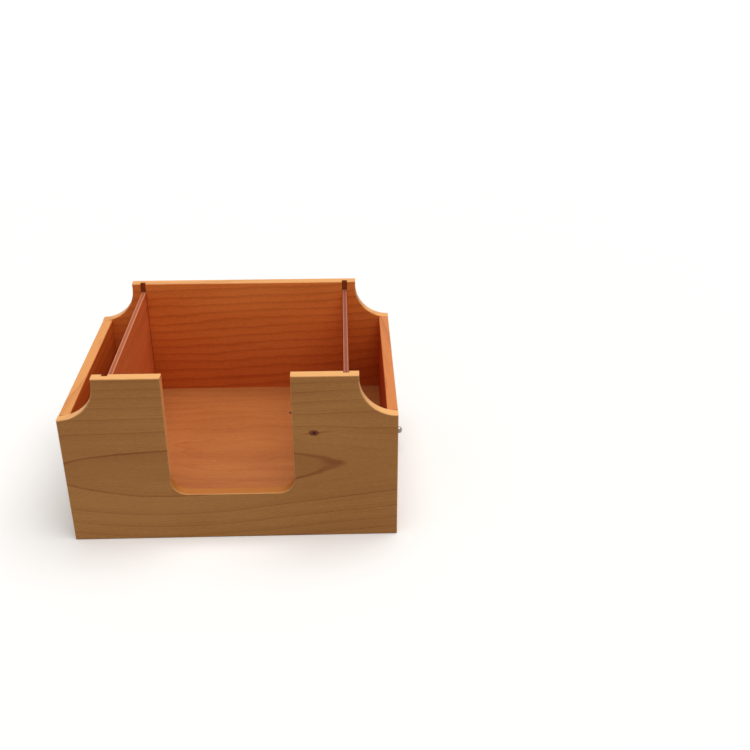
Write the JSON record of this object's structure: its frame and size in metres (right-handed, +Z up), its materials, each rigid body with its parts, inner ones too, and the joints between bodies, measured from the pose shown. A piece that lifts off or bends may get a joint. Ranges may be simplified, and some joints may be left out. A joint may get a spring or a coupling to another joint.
{
  "type": "bar caddy with drawer",
  "caption": "Wooden counter caddy with cove-shouldered front and back, a U cut-out in front, lift-out dividers and a shallow knobbed drawer in the right side.",
  "frame": {"origin": "centre of the box's footprint on the table, in the underside of the base panel", "axes": "+X to the right as seen from the front, where the drawer pulls out; -Y out of the front with the U cut-out; +Z up"},
  "size_m": [0.2088, 0.144, 0.113],
  "materials": {
    "board_wood": "satin lacquer over a light brown stain",
    "plywood": "satin",
    "divider_plywood": "satin",
    "drawer_wood": "bare, sanded",
    "dowel_wood": "bare",
    "nickel_plate": "satin nickel plate",
    "zinc_steel": "bright zinc plate"
  },
  "bodies": {
    "carcass": {"front_panel": "board_wood", "back_panel": "board_wood", "left_side": "board_wood", "right_side": "board_wood", "base_panel": "plywood", "compartment_floor": "plywood", "drawer_guide_front": "board_wood", "drawer_guide_rear": "board_wood", "drawer_stop_pin": "zinc_steel", "front_left_dowels": "dowel_wood", "front_right_dowels": "dowel_wood", "back_left_dowels": "dowel_wood", "back_right_dowels": "dowel_wood"},
    "drawer": {"drawer_front": "board_wood", "drawer_side_front": "drawer_wood", "drawer_side_rear": "drawer_wood", "drawer_back": "drawer_wood", "drawer_bottom": "plywood", "drawer_knob": "nickel_plate", "knob_screw": "zinc_steel", "drawer_corner_pins": "zinc_steel", "drawer_bottom_brads": "zinc_steel"},
    "left_divider_board": {"left_divider": "divider_plywood"},
    "right_divider_board": {"right_divider": "divider_plywood"}
  },
  "joints": [
    {"name": "drawer_slide", "type": "slide", "parent": "carcass", "child": "drawer", "axis": [1, 0, 0], "range_m": [0, 0.12]},
    {"name": "left_divider_lift", "type": "slide", "parent": "carcass", "child": "left_divider_board", "axis": [0, 0, 1], "range_m": [0, 0.085]},
    {"name": "right_divider_lift", "type": "slide", "parent": "carcass", "child": "right_divider_board", "axis": [0, 0, 1], "range_m": [0, 0.085]}
  ]
}
